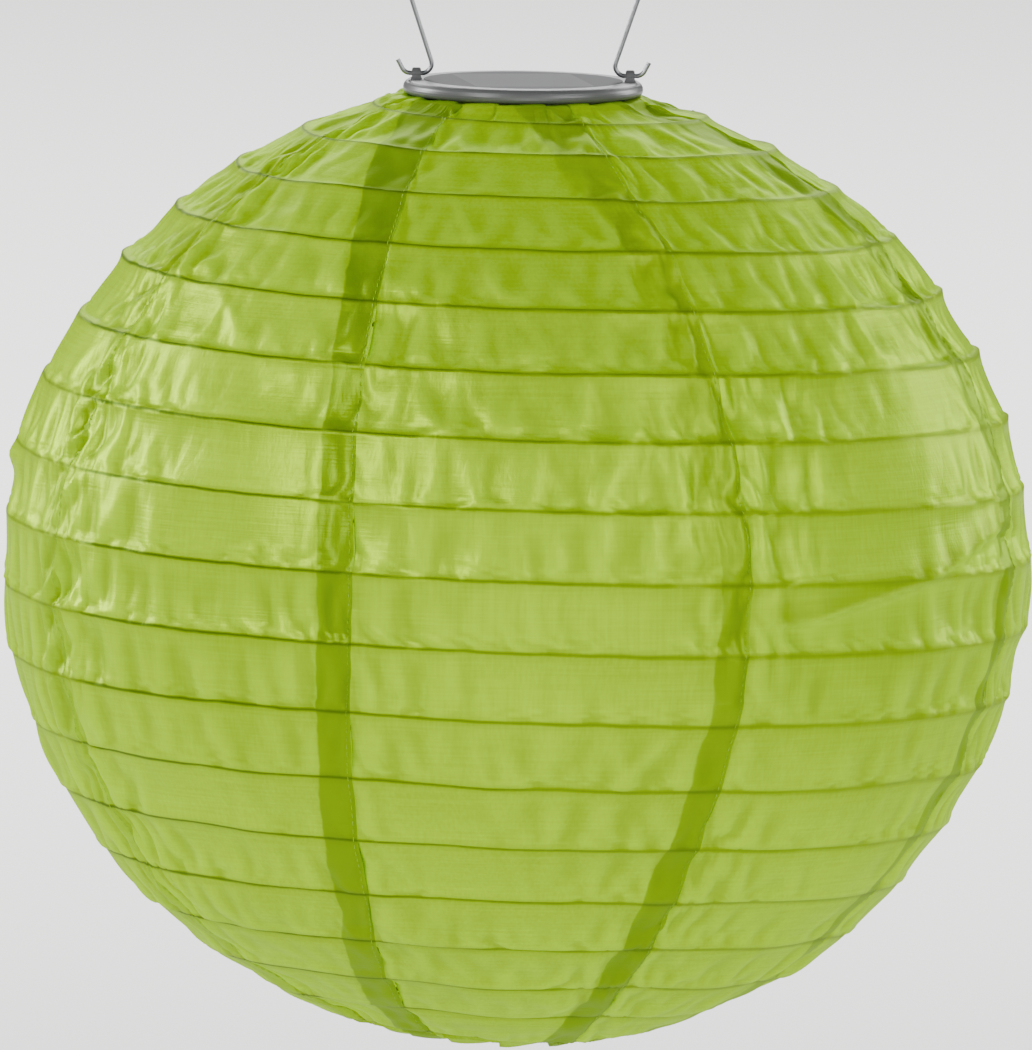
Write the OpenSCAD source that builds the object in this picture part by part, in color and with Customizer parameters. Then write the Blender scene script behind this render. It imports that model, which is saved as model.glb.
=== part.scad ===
// Hanging solar lantern: a fabric globe on a spiral wire rib, a round solar module on top and a wire bail.
// Units are millimetres. The origin is where a hook bears inside the top of the bail, with +Z up.
// X runs through the two bail lugs and -Y is the front.

/* [Globe] */
// Outer diameter of the fabric globe
globe_d = 305; // [200:1:400]
// Height of the full ellipse that the globe follows
globe_h = 284; // [180:1:380]
// Distance from the cap's top face down to the globe's centre
globe_drop = 142.6; // [90:0.1:200]
// Turns of the spiral rib from the top ring to the bottom ring
turns = 18; // [8:1:24]
// Turn past the front at which the spiral rib starts, in degrees
rib_start = 119; // [0:1:359]
// Number of fabric gores sewn into the globe
gores = 8; // [8:1:8]
// Turn of the first seam from the front, in degrees
seam_turn = -18.3; // [-45:0.1:45]
// Thickness of the nylon cloth
cloth_t = 0.35; // [0.2:0.05:0.6]
// Width of the doubled cloth beside each seam
tape_w = 10; // [5:0.5:16]
// Diameter of the spiral spring wire
rib_d = 1.2; // [0.8:0.1:2]

/* [Rings] */
// Centre radius of the top wire ring
top_ring_r = 34.5; // [30:0.1:40]
// Centre radius of the bottom wire ring
bottom_ring_r = 37; // [30:0.1:45]
// Diameter of both ring wires
ring_d = 2; // [1.4:0.1:3]
// Thickness of the hem cloth rolled round each ring
hem_t = 0.45; // [0.3:0.05:0.8]

/* [Cap] */
// Cap diameter
cap_d = 71; // [60:0.5:90]
// Cap thickness at the rim
cap_t = 4.2; // [4:0.1:8]
// Distance of each lug from the middle
lug_x = 31.6; // [28:0.1:33]
// Height of the lug above the cap's top face
lug_h = 3.4; // [2.5:0.1:6]
// Height of the bail's pivot above the cap's top face
pivot_h = 1.7; // [1.2:0.1:3]
// Solar cell size across
cell_x = 35.4; // [20:0.1:38]
// Solar cell size front to back
cell_y = 43.4; // [20:0.1:46]
// Solar cell turn on the cap
cell_turn = 10; // [0:1:45]

/* [Bail] */
// Diameter of the bail's steel wire
bail_d = 1.4; // [1:0.1:2.5]
// Height of the bail's hang point above its pivot
bail_h = 97; // [60:1:140]
// Lean of each leg away from vertical
bail_lean = 18.4; // [10:0.1:30]

/* [Module] */
// Outer radius of the housing under the cap
drum_r = 31; // [28:0.1:32]
// Depth of the housing under the cap
drum_h = 17; // [15:0.1:25]
// Wall of the housing
wall = 1.6; // [1.2:0.1:2.5]
// Battery diameter
battery_d = 10.5; // [10:0.1:11]
// Battery length with its nub
battery_l = 44.5; // [44:0.1:45]

/* [Hidden] */
$fn = 96;
ga = globe_d / 2;
gb = globe_h / 2;
pivot_z = -bail_h;
cap_z = pivot_z - pivot_h;
centre_z = cap_z - globe_drop;
cap_r = cap_d / 2;
t_top = 13.2;
t_bottom = 165.6;
ring_r = ring_d / 2;
hem_r = ring_r + 0.05 + hem_t;
top_ring_z = cap_z - cap_t - 0.4 - hem_r;
bottom_ring_z = centre_z - gb * cos(asin(bottom_ring_r / ga));
rib_r = rib_d / 2;
rib_steps = 30;
rib_sides = 6;
rib_trim = 0.12;
floor_z = cap_z - cap_t - drum_h;
inner_r = drum_r - wall;
window_r = 29.4;
window_t = 0.7;
seal_t = 0.2;
cell_t = 0.5;
back_t = 0.8;
pocket_z = cap_z - 2.3;
bay_y = 9.6;
bay_x = 24;
door_x = 23.2;
battery_z = floor_z + wall + 0.4 + battery_d / 2;
pcb_z = cap_z - 13;
pcb_t = 1;
led_y = -12;
switch_x = -11.5;
switch_y = -16.5;
switch_travel = 2.5;
door_axis_y = 18.4;
door_axis_z = floor_z + 1.5;
rod_r = 0.9;
socket_x = 26;
foot_z = bottom_ring_z + hem_r + 0.35 + rod_r;
screw_places = [[0, 25], [-20.5, -15], [20.5, -15]];

// The globe's outline: t runs from 0 at the top to 180 at the bottom, and off is a depth inside the cloth.
function prof_r(t, off) = (ga - off) * sin(t);
function prof_z(t, off) = centre_z + (gb - off) * cos(t);
function seam_angle(i) = -90 + seam_turn + 360 / gores * i;

// A round wire ring.
module ring(radius, wire, z) {
    translate([0, 0, z])
        rotate_extrude()
            translate([radius, 0])
                circle(r = wire, $fn = 32);
}

// A straight wire from point a to point b.
module rod(a, b, r) {
    d = b - a;
    l = norm(d);
    translate(a)
        rotate([0, acos(d[2] / l), atan2(d[1], d[0])])
            cylinder(h = l, r = r, $fn = 32);
}

// A straight wire whose ends run a little way into the bends that it joins.
module link(a, b, r) {
    u = (b - a) / norm(b - a);
    rod(a - 0.15 * u, b + 0.15 * u, r - 0.012);
}

// A wire bend in the XZ plane, round centre c, from one direction to another.
module bend_xz(c, radius, wire, from, sweep) {
    translate([c[0], 0, c[1]])
        rotate([90, 0, 0])
            rotate_extrude(angle = sweep, start = from)
                translate([radius, 0])
                    circle(r = wire, $fn = 32);
}

// ---- Bail ----

// One side of the bail: curled tip, pin through the lug, inner bend and leaning leg.
module bail_side() {
    w = bail_d / 2;
    pin_in = lug_x - 1.6;
    pin_out = lug_x + 1.9;
    bend = 2.85;
    curl = 2.6;
    leg_x = pin_in - bend * cos(bail_lean);
    leg_z = pivot_z + bend + bend * sin(bail_lean);
    tip_x = pin_out + curl * sin(62);
    tip_z = pivot_z + curl - curl * cos(62);
    link([pin_in, 0, pivot_z], [pin_out, 0, pivot_z], w);
    bend_xz([pin_in, pivot_z + bend], bend, w, 180 - bail_lean, 90 + bail_lean);
    link([leg_x, 0, leg_z], [leg_x + bail_leg() * sin(bail_lean), 0, leg_z + bail_leg() * cos(bail_lean)], w);
    bend_xz([pin_out, pivot_z + curl], curl, w, -90, 62);
    link([tip_x, 0, tip_z], [tip_x + 2.8 * cos(62), 0, tip_z + 2.8 * sin(62)], w);
}

// The leg's length that brings the arch's inside to the origin.
function bail_leg() =
    let (
        w = bail_d / 2,
        bend = 2.85,
        lx = lug_x - 1.6 - bend * cos(bail_lean),
        lz = -bail_h + bend + bend * sin(bail_lean),
        s = sin(bail_lean),
        c = cos(bail_lean)
    )
    // apex: lz + L*c + R*s + R = w, with R = (lx + L*s)/c
    (w - lz - lx * (1 + s) / c) / (c + s * (1 + s) / c);

module bail_handle() color([0.72, 0.73, 0.75]) {
    w = bail_d / 2;
    leg_x = lug_x - 1.6 - 2.85 * cos(bail_lean);
    arc_r = (leg_x + bail_leg() * sin(bail_lean)) / cos(bail_lean);
    bail_side();
    mirror([1, 0, 0])
        bail_side();
    bend_xz([0, w - arc_r], arc_r, w, -bail_lean, 180 + 2 * bail_lean);
}

// ---- Cap and solar panel ----

module lug() {
    r = lug_h - pivot_h;
    difference() {
        intersection() {
            union() {
                translate([lug_x - 3, 0, cap_z + pivot_h])
                    rotate([0, 90, 0])
                        cylinder(h = 6, r = r, $fn = 48);
                translate([lug_x - 3, -r - 0.5, cap_z - 1])
                    cube([6, 2 * r + 1, pivot_h + 0.6]);
            }
            translate([lug_x, r + 1, cap_z])
                rotate([90, 0, 0])
                    linear_extrude(height = 2 * r + 2)
                        union() {
                            for (x = [-0.6, 0.6])
                                translate([x, lug_h - 0.75])
                                    circle(r = 0.75, $fn = 48);
                            translate([-0.6, lug_h - 1.5])
                                square([1.2, 1.5]);
                            polygon([[-1.7, -1], [1.7, -1], [1.7, 0.1], [1.35, 0.6], [1.35, lug_h - 0.75],
                                [-1.35, lug_h - 0.75], [-1.35, 0.6], [-1.7, 0.1]]);
                        }
        }
        translate([lug_x - 3, 0, cap_z + pivot_h])
            rotate([0, 90, 0])
                cylinder(h = 6, r = bail_d / 2 + 0.07, $fn = 48);
    }
}

module cap_shell() color([0.62, 0.63, 0.64]) {
    difference() {
        union() {
            translate([0, 0, cap_z])
                rotate_extrude()
                    polygon([
                        [0, 0],
                        [cap_r - 2.6, 0],
                        for (a = [75 : -15 : 0]) [cap_r - 2.3 + 2.3 * cos(a), -2.3 + 2.3 * sin(a)],
                        for (a = [-15 : -15 : -75]) [cap_r - 1.6 + 1.6 * cos(a), -cap_t + 1.6 + 1.6 * sin(a)],
                        [cap_r - 2.1, -cap_t],
                        [0, -cap_t]
                    ]);
            lug();
            mirror([1, 0, 0])
                lug();
        }
        translate([0, 0, cap_z - window_t - seal_t])
            cylinder(h = 4, r = window_r + 0.08);
        translate([0, 0, pocket_z])
            cylinder(h = 4, r = window_r - 1.1);
        for (s = screw_places)
            translate([s[0], s[1], cap_z - cap_t - 1])
                cylinder(h = 2.4, r = 0.8, $fn = 32);
        translate([10.5, -5, cap_z - cap_t - 1])
            cylinder(h = 6, r = 2.4, $fn = 32);
        // moulding relief under the rim
        translate([0, 0, cap_z - cap_t - 1])
            difference() {
                cylinder(h = 2.6, r = cap_r - 2.4);
                cylinder(h = 2.6, r = drum_r + 0.2);
            }
    }
}

module panel_window() color([0.75, 0.77, 0.79, 0.6]) {
    translate([0, 0, cap_z - window_t])
        cylinder(h = window_t, r = window_r);
}

module panel_seal() color([0.1, 0.1, 0.1]) {
    translate([0, 0, cap_z - window_t - seal_t])
        difference() {
            cylinder(h = seal_t, r = window_r);
            translate([0, 0, -1])
                cylinder(h = 3, r = window_r - 1.1);
        }
}

module solar_cell() color([0.12, 0.13, 0.2]) {
    translate([0, 0, cap_z - window_t - cell_t])
        rotate([0, 0, cell_turn])
            translate([-cell_x / 2, -cell_y / 2, 0])
                cube([cell_x, cell_y, cell_t]);
}

module cell_backing() color([0.85, 0.86, 0.82]) {
    translate([0, 0, cap_z - window_t - cell_t - back_t])
        rotate([0, 0, cell_turn])
            translate([-cell_x / 2, -cell_y / 2, 0])
                cube([cell_x, cell_y, back_t]);
}

// ---- Housing under the cap ----

module screw_post(p) {
    translate([p[0], p[1], floor_z])
        cylinder(h = drum_h - 0.3, r = 2.7, $fn = 32);
}

module module_housing() color([0.6, 0.61, 0.62]) {
    difference() {
        union() {
            difference() {
                translate([0, 0, floor_z])
                    cylinder(h = drum_h - 0.3, r = drum_r);
                translate([0, 0, floor_z + wall])
                    cylinder(h = drum_h, r = inner_r);
            }
            // battery bay, kept inside the drum
            intersection() {
                translate([0, 0, floor_z])
                    cylinder(h = drum_h, r = inner_r + 0.2);
                translate([-bay_x - 1.4, bay_y - 7.4, floor_z])
                    cube([2 * bay_x + 2.8, 14.9, battery_z + battery_d / 2 + 1.4 - floor_z]);
            }
            for (s = screw_places)
                screw_post(s);
            // posts under the circuit board
            for (x = [-13, 13])
                for (y = [-3, -21])
                    translate([x, y, floor_z + 0.5])
                        cylinder(h = pcb_z - floor_z - 0.5, r = 1.2, $fn = 24);
            // sockets for the expander's rods
            for (s = [-1, 1])
                translate([s * socket_x, 0, floor_z - 3])
                    cylinder(h = 3 + 5.5, r = 2.3, $fn = 48);
            // ears for the door's pin
            for (s = [-1, 1])
                translate([s * 17.8 - 1.2, door_axis_y - 2, floor_z + 0.5])
                    cube([2.4, 4, 3]);
        }
        // battery space and the recess for its door
        translate([-bay_x, bay_y - 6, floor_z + wall - 0.1])
            cube([2 * bay_x, 12, battery_z + battery_d / 2 + 0.4 - floor_z - wall + 0.1]);
        translate([-door_x - 0.3, bay_y - 6.9, floor_z - 1])
            cube([2 * door_x + 0.6, 14.9, wall + 1.4]);
        // room for the door's knuckles to turn, and its pin
        for (s = [-1, 1])
            translate([s * 12.5 - 3.8, door_axis_y - 2.6, floor_z - 1])
                cube([7.6, 4.9, 5]);
        translate([-18.6, door_axis_y, door_axis_z])
            rotate([0, 90, 0])
                cylinder(h = 37.2, r = 0.65, $fn = 32);
        // screw holes from below
        for (s = screw_places) {
            translate([s[0], s[1], floor_z - 1])
                cylinder(h = drum_h - 4, r = 2, $fn = 32);
            translate([s[0], s[1], floor_z - 1])
                cylinder(h = drum_h + 3, r = 1, $fn = 32);
        }
        // lens hole, switch slot and rod sockets
        translate([0, led_y, floor_z - 1])
            cylinder(h = 4, r = 6.1);
        translate([switch_x - 1.6, switch_y - 1.5, floor_z - 1])
            cube([switch_travel + 3.2, 3, 4]);
        for (s = [-1, 1])
            translate([s * socket_x, 0, floor_z - 4])
                cylinder(h = 7.5, r = rod_r + 0.35, $fn = 48);
    }
}

module housing_seal() color([0.1, 0.1, 0.1]) {
    translate([0, 0, cap_z - cap_t - 0.3])
        difference() {
            cylinder(h = 0.3, r = drum_r - 0.2);
            translate([0, 0, -1])
                cylinder(h = 3, r = inner_r + 0.1);
        }
}

module housing_screws() color([0.75, 0.75, 0.76]) {
    for (s = screw_places)
        translate([s[0], s[1], floor_z + drum_h - 6.2])
            difference() {
                union() {
                    cylinder(h = 1.2, r = 1.75, $fn = 32);
                    cylinder(h = 7.4, r = 0.75, $fn = 32);
                }
                for (a = [0, 90])
                    rotate([0, 0, a])
                        translate([-1.1, -0.2, -0.1])
                            cube([2.2, 0.4, 0.7]);
            }
}

module grip_pads() color([0.12, 0.12, 0.12]) {
    for (a = [90, 210, 330])
        rotate([0, 0, a])
            translate([drum_r - 0.02, 0, top_ring_z - 3])
                intersection() {
                    translate([0, -4, 0])
                        cube([1.4, 8, 4.6]);
                    translate([-drum_r + 0.02, 0, -1])
                        difference() {
                            cylinder(h = 8, r = top_ring_r - hem_r - 0.35);
                            cylinder(h = 8, r = drum_r + 0.01);
                        }
                }
}

// ---- Electronics ----

module circuit_board() color([0.05, 0.35, 0.15]) {
    difference() {
        translate([-15, -23, pcb_z])
            cube([30, 22, pcb_t]);
        for (x = [-13, 13])
            for (y = [-3, -21])
                translate([x, y, pcb_z - 1])
                    cylinder(h = 3, r = 0.6, $fn = 24);
    }
}

module control_chip() color([0.08, 0.08, 0.09]) {
    translate([1, -10, pcb_z + pcb_t + 0.2])
        cube([5, 4, 1.3]);
    for (s = [-1, 1])
        for (i = [0 : 3])
            translate([1.35 + i * 1.27, -8 + s * 2.5 - 0.6, pcb_z + pcb_t])
                cube([0.4, 1.2, 0.6]);
}

module inductor() color([0.15, 0.15, 0.16]) {
    translate([-6, -8, pcb_z + pcb_t]) {
        cylinder(h = 0.8, r = 2.6, $fn = 48);
        translate([0, 0, 0.8])
            cylinder(h = 2.4, r = 1.9, $fn = 48);
        translate([0, 0, 3.2])
            cylinder(h = 0.8, r = 2.6, $fn = 48);
    }
}

module capacitors() color([0.2, 0.3, 0.55]) {
    for (p = [[6, -17], [-1, -19]])
        translate([p[0], p[1], pcb_z + pcb_t]) {
            cylinder(h = 4.6, r = 2, $fn = 48);
            translate([0, 0, 4.6])
                cylinder(h = 0.3, r = 1.6, $fn = 48);
        }
}

module led() color([0.95, 0.93, 0.8]) {
    translate([0, led_y, 0]) {
        translate([0, 0, floor_z + 1.8])
            cylinder(h = 1, r = 2.9, $fn = 48);
        translate([0, 0, floor_z - 1.2])
            cylinder(h = 3, r = 2.5, $fn = 48);
        translate([0, 0, floor_z - 1.2])
            sphere(r = 2.5, $fn = 48);
        for (s = [-1, 1])
            translate([s * 1.27, 0, floor_z + 2.6])
                cylinder(h = pcb_z - floor_z - 2.6, r = 0.25, $fn = 16);
    }
}

module led_lens() color([0.93, 0.94, 0.95, 0.7]) {
    translate([0, led_y, floor_z])
        difference() {
            union() {
                sphere(r = 6);
                cylinder(h = wall, r = 6);
                translate([0, 0, wall])
                    cylinder(h = 0.8, r = 7.1);
            }
            sphere(r = 5);
            cylinder(h = 10, r = 5);
            translate([0, 0, wall + 0.8])
                cylinder(h = 10, r = 9);
        }
}

module switch_body() color([0.1, 0.1, 0.1]) {
    translate([switch_x + switch_travel / 2, switch_y, pcb_z - 4.2])
        difference() {
            translate([-4.3, -2.4, 0])
                cube([8.6, 4.8, 4.2]);
            translate([-3.3, -1.6, 0.8])
                cube([6.6, 3.2, 2.2]);
            translate([-2.6, -1.1, -1])
                cube([5.2, 2.2, 3]);
        }
}

module switch_knob() color([0.92, 0.92, 0.92]) {
    translate([switch_x, switch_y, 0]) {
        translate([-1.3, -1.25, pcb_z - 3.1])
            cube([2.6, 2.5, 1.5]);
        translate([-1, -0.75, floor_z - 1.8])
            cube([2, 1.5, pcb_z - 2.5 - floor_z + 1.8]);
        translate([-1.2, -1.1, floor_z - 1.8])
            cube([2.4, 2.2, 1.2]);
    }
}

module battery() color([0.15, 0.45, 0.2]) {
    translate([-21.4, bay_y, battery_z])
        rotate([0, 90, 0]) {
            cylinder(h = battery_l - 1, r = battery_d / 2);
            cylinder(h = battery_l, r = 1.9, $fn = 48);
        }
}

module battery_spring() color([0.8, 0.8, 0.82]) {
    translate([0, bay_y, battery_z])
        rotate([0, 90, 0]) {
            translate([0, 0, -bay_x])
                cylinder(h = 0.3, r = 4.2, $fn = 48);
            for (i = [0 : 2])
                translate([0, 0, -bay_x + 0.65 + i * 0.72])
                    rotate_extrude()
                        translate([3.7 - i * 0.75, 0])
                            circle(r = 0.38, $fn = 20);
        }
}

module battery_contact() color([0.8, 0.75, 0.5]) {
    translate([bay_x - 0.3, bay_y - 4, battery_z - 4])
        cube([0.3, 8, 8]);
    translate([bay_x - 0.8, bay_y - 1.4, battery_z - 1.4])
        cube([0.55, 2.8, 2.8]);
}

module battery_door() color([0.58, 0.59, 0.6]) {
    difference() {
        union() {
            translate([-door_x, bay_y - 6.6, floor_z])
                cube([2 * door_x, 13.6, wall]);
            for (s = [-1, 1]) {
                translate([s * 12.5 - 3.5, door_axis_y, door_axis_z])
                    rotate([0, 90, 0])
                        cylinder(h = 7, r = 1.5, $fn = 48);
                translate([s * 12.5 - 3.5, bay_y + 6, floor_z])
                    cube([7, door_axis_y - bay_y - 6, 1.6]);
            }
            // latch tongue at the free edge
            translate([-4, bay_y - 5.6, floor_z + 1])
                cube([8, 1.2, 2.6]);
        }
        translate([-30, door_axis_y, door_axis_z])
            rotate([0, 90, 0])
                cylinder(h = 60, r = 0.68, $fn = 32);
        // grip ridges cut across the free edge
        for (i = [0 : 4])
            translate([-5 + i * 2.25, bay_y - 6, floor_z - 0.1])
                cube([1, 4, 0.5]);
    }
}

module door_pin() color([0.75, 0.75, 0.76]) {
    translate([-18.5, door_axis_y, door_axis_z])
        rotate([0, 90, 0])
            cylinder(h = 37, r = 0.62, $fn = 32);
}

module lead(x, y0, z0, y1, z1) {
    b = 1.5;
    r = 0.5;
    zm = (z0 + z1) / 2;
    translate([x, 0, 0])
        rotate([0, 0, 90]) {
            rod([y0, 0, z0], [y0, 0, zm + b], r);
            bend_xz([y0 - b, zm + b], b, r, 270, 90);
            rod([y0 - b, 0, zm], [y1 + b, 0, zm], r);
            bend_xz([y1 + b, zm - b], b, r, 90, 90);
            rod([y1, 0, zm - b], [y1, 0, z1], r);
        }
}

module cell_leads() color([0.75, 0.1, 0.1]) {
    for (s = [-1, 1])
        lead(10.5 + s * 0.8, -5, cap_z - window_t - cell_t - back_t, -11, pcb_z + pcb_t);
}

module battery_leads() color([0.1, 0.1, 0.12]) {
    for (s = [-1, 1])
        translate([s * 9.5, 0, 0])
            rotate([0, 0, 90]) {
                zt = battery_z + battery_d / 2 + 1.4 + 0.6;
                rod([4, 0, zt], [-2.5 + 1.5, 0, zt], 0.5);
                bend_xz([-1, zt - 1.5], 1.5, 0.5, 90, 90);
                rod([-2.5, 0, zt - 1.5], [-2.5, 0, pcb_z + pcb_t], 0.5);
            }
}

// ---- Shade ----

module top_ring() color([0.7, 0.7, 0.72]) {
    ring(top_ring_r, ring_r, top_ring_z);
}

module bottom_ring() color([0.7, 0.7, 0.72]) {
    ring(bottom_ring_r, ring_r, bottom_ring_z);
}

module hem(radius, z) {
    translate([0, 0, z])
        rotate_extrude()
            translate([radius, 0])
                difference() {
                    circle(r = hem_r, $fn = 32);
                    circle(r = ring_r + 0.05, $fn = 32);
                }
}

module top_hem() color([0.6, 0.75, 0.1]) {
    hem(top_ring_r, top_ring_z);
}

module bottom_hem() color([0.6, 0.75, 0.1]) {
    hem(bottom_ring_r, bottom_ring_z);
}

// The cloth's section between two depths, as a polygon for a turned solid.
module cloth_section(t0, t1, outer, inner) {
    n = 44;
    polygon([
        for (i = [0 : n]) let (t = t0 + (t1 - t0) * i / n) [prof_r(t, outer), prof_z(t, outer)],
        for (i = [n : -1 : 0]) let (t = t0 + (t1 - t0) * i / n) [prof_r(t, inner), prof_z(t, inner)]
    ]);
}

// One gore of the globe, from one seam to the next.
module gore(i) {
    top_t = asin((top_ring_r + hem_r + 0.2) / ga);
    bottom_t = 180 - asin((bottom_ring_r + hem_r + 0.5) / ga);
    rotate_extrude(angle = 360 / gores - 0.04, start = seam_angle(i) + 0.02)
        cloth_section(top_t, bottom_t, 0, cloth_t);
}

module gore_1() color([0.72, 0.85, 0.25]) {
    gore(0);
}

module gore_2() color([0.7, 0.84, 0.24]) {
    gore(1);
}

module gore_3() color([0.72, 0.85, 0.25]) {
    gore(2);
}

module gore_4() color([0.7, 0.84, 0.24]) {
    gore(3);
}

module gore_5() color([0.72, 0.85, 0.25]) {
    gore(4);
}

module gore_6() color([0.7, 0.84, 0.24]) {
    gore(5);
}

module gore_7() color([0.72, 0.85, 0.25]) {
    gore(6);
}

module gore_8() color([0.7, 0.84, 0.24]) {
    gore(7);
}

// The doubled cloth that lies inside the globe beside each seam.
module seam_tapes() color([0.55, 0.72, 0.05]) {
    for (i = [0 : gores - 1])
        intersection() {
            rotate_extrude(angle = 20, start = seam_angle(i) - 20)
                cloth_section(17, 163, cloth_t + 0.12, cloth_t + 0.37);
            rotate([0, 0, seam_angle(i)])
                translate([0, -tape_w, centre_z - gb])
                    cube([ga, tape_w - 0.3, 2 * gb]);
        }
}

// The spiral rib: a wire swept inside the cloth from the top ring to the bottom ring.
function rib_t(u) = t_top + (t_bottom - t_top) * u / turns;
function rib_depth() = cloth_t + 0.37 + 0.15 + rib_r;
function rib_point(u, k) =
    let (
        t = rib_t(u),
        a = -90 + rib_start + 360 * u,
        q = 360 * k / rib_sides + 30,
        r = prof_r(t, rib_depth()) + rib_r * cos(q) * sin(t) + rib_r * sin(q) * cos(t),
        z = prof_z(t, rib_depth()) + rib_r * cos(q) * cos(t) - rib_r * sin(q) * sin(t)
    )
    [r * cos(a), r * sin(a), z];

module spiral_rib() color([0.35, 0.4, 0.2]) {
    n = floor((turns - 2 * rib_trim) * rib_steps);
    pts = [
        for (i = [0 : n])
            let (u = rib_trim + (turns - 2 * rib_trim) * i / n)
                for (k = [0 : rib_sides - 1])
                    rib_point(u, k)
    ];
    sides = [
        for (i = [0 : n - 1])
            for (k = [0 : rib_sides - 1])
                let (
                    a = i * rib_sides + k,
                    b = i * rib_sides + (k + 1) % rib_sides
                )
                    for (f = [[a, b, a + rib_sides], [b, b + rib_sides, a + rib_sides]]) f
    ];
    ends = [
        [for (k = [rib_sides - 1 : -1 : 0]) k],
        [for (k = [0 : rib_sides - 1]) n * rib_sides + k]
    ];
    polyhedron(points = pts, faces = concat(sides, ends), convexity = 20);
}

// Two spring rods that stand in the housing's sockets and press the bottom ring down.
module expander_rods() color([0.72, 0.73, 0.75]) {
    b = 4;
    for (s = [0, 1])
        mirror([s, 0, 0]) {
            rod([socket_x, 0, foot_z + b], [socket_x, 0, floor_z + 2.6], rod_r);
            bend_xz([socket_x + b, foot_z + b], b, rod_r, 180, 90);
            rod([socket_x + b, 0, foot_z], [bottom_ring_r + 2, 0, foot_z], rod_r);
        }
}

bail_handle();
cap_shell();
panel_window();
panel_seal();
solar_cell();
cell_backing();
module_housing();
housing_seal();
housing_screws();
grip_pads();
circuit_board();
control_chip();
inductor();
capacitors();
led();
led_lens();
switch_body();
switch_knob();
battery();
battery_spring();
battery_contact();
battery_door();
door_pin();
cell_leads();
battery_leads();
top_ring();
top_hem();
spiral_rib();
gore_1();
gore_2();
gore_3();
gore_4();
gore_5();
gore_6();
gore_7();
gore_8();
seam_tapes();
expander_rods();
bottom_ring();
bottom_hem();
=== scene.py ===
import math

import bpy
import numpy as np
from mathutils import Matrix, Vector


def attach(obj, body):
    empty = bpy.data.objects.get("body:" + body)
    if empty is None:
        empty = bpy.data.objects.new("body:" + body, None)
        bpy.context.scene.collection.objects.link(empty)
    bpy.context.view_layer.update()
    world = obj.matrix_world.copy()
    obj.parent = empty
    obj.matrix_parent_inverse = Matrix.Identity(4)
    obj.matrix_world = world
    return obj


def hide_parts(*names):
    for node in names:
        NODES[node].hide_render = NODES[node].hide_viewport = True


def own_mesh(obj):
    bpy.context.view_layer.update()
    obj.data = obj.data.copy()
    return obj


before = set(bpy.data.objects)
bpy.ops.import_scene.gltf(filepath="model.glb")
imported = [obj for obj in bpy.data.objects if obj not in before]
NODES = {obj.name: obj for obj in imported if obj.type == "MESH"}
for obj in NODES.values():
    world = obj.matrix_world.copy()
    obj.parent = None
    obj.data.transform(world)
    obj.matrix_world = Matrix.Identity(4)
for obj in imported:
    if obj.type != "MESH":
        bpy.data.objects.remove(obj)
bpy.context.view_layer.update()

# The lantern's looks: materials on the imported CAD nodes, and finer cloth, seams, stitches, rib and rods
# in place of the smooth solids.

# ---- The globe's shape, in metres and degrees, as in the CAD ----
rad = np.radians
GA, GB = 0.1525, 0.142  # half the globe's width, and half the height it would have without its openings
CAP_Z = -0.0987  # the cap's upper face
CENTRE_Z = CAP_Z - 0.1426
T0, T1, TURNS = 13.2, 165.6, 18  # polar angles where the rib starts and ends, and how often it goes round
DT = (T1 - T0) / TURNS
RIB_START = 119  # how far past the front the rib starts
SEAM_TURN, GORES = -18.3, 8  # how far past the front the first seam lies, and how many gores there are
GORE_TURN = 360 / GORES
TOP_RING = (0.0345, CAP_Z - 0.0061)  # radius and height of the wire ring in each hem
BOTTOM_RADIUS = 0.037  # of the bottom ring, and of the globe's bottom opening
BOTTOM_RING = (BOTTOM_RADIUS, CENTRE_Z - GB * math.cos(math.asin(BOTTOM_RADIUS / GA)))
HEM_OUT = 0.00155  # radius of the cloth's roll round a ring
HEM_EASE = 156  # polar angle from which the cloth eases out to the bottom roll
TOP_OPENING = 0.03484  # radius of the globe's top opening
T_TOP = math.degrees(math.asin(TOP_OPENING / GA))  # the polar angles where the cloth meets its rolls
T_BOTTOM = 180 - math.degrees(math.asin(BOTTOM_RADIUS / GA))
ROLL = 1.1  # how many degrees the cloth goes on past them, round the rings
ELEV = rad(5.6)  # how far above level the camera looks from


def turn_from(theta, start):
    """How far azimuth theta lies past start, between -180 and 180 degrees."""
    return (theta - start + 180) % 360 - 180


def degree_arc(t):
    """Length in metres of one degree of azimuth on the globe at polar angle t."""
    return GA * np.sin(rad(t)) * math.pi / 180


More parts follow.
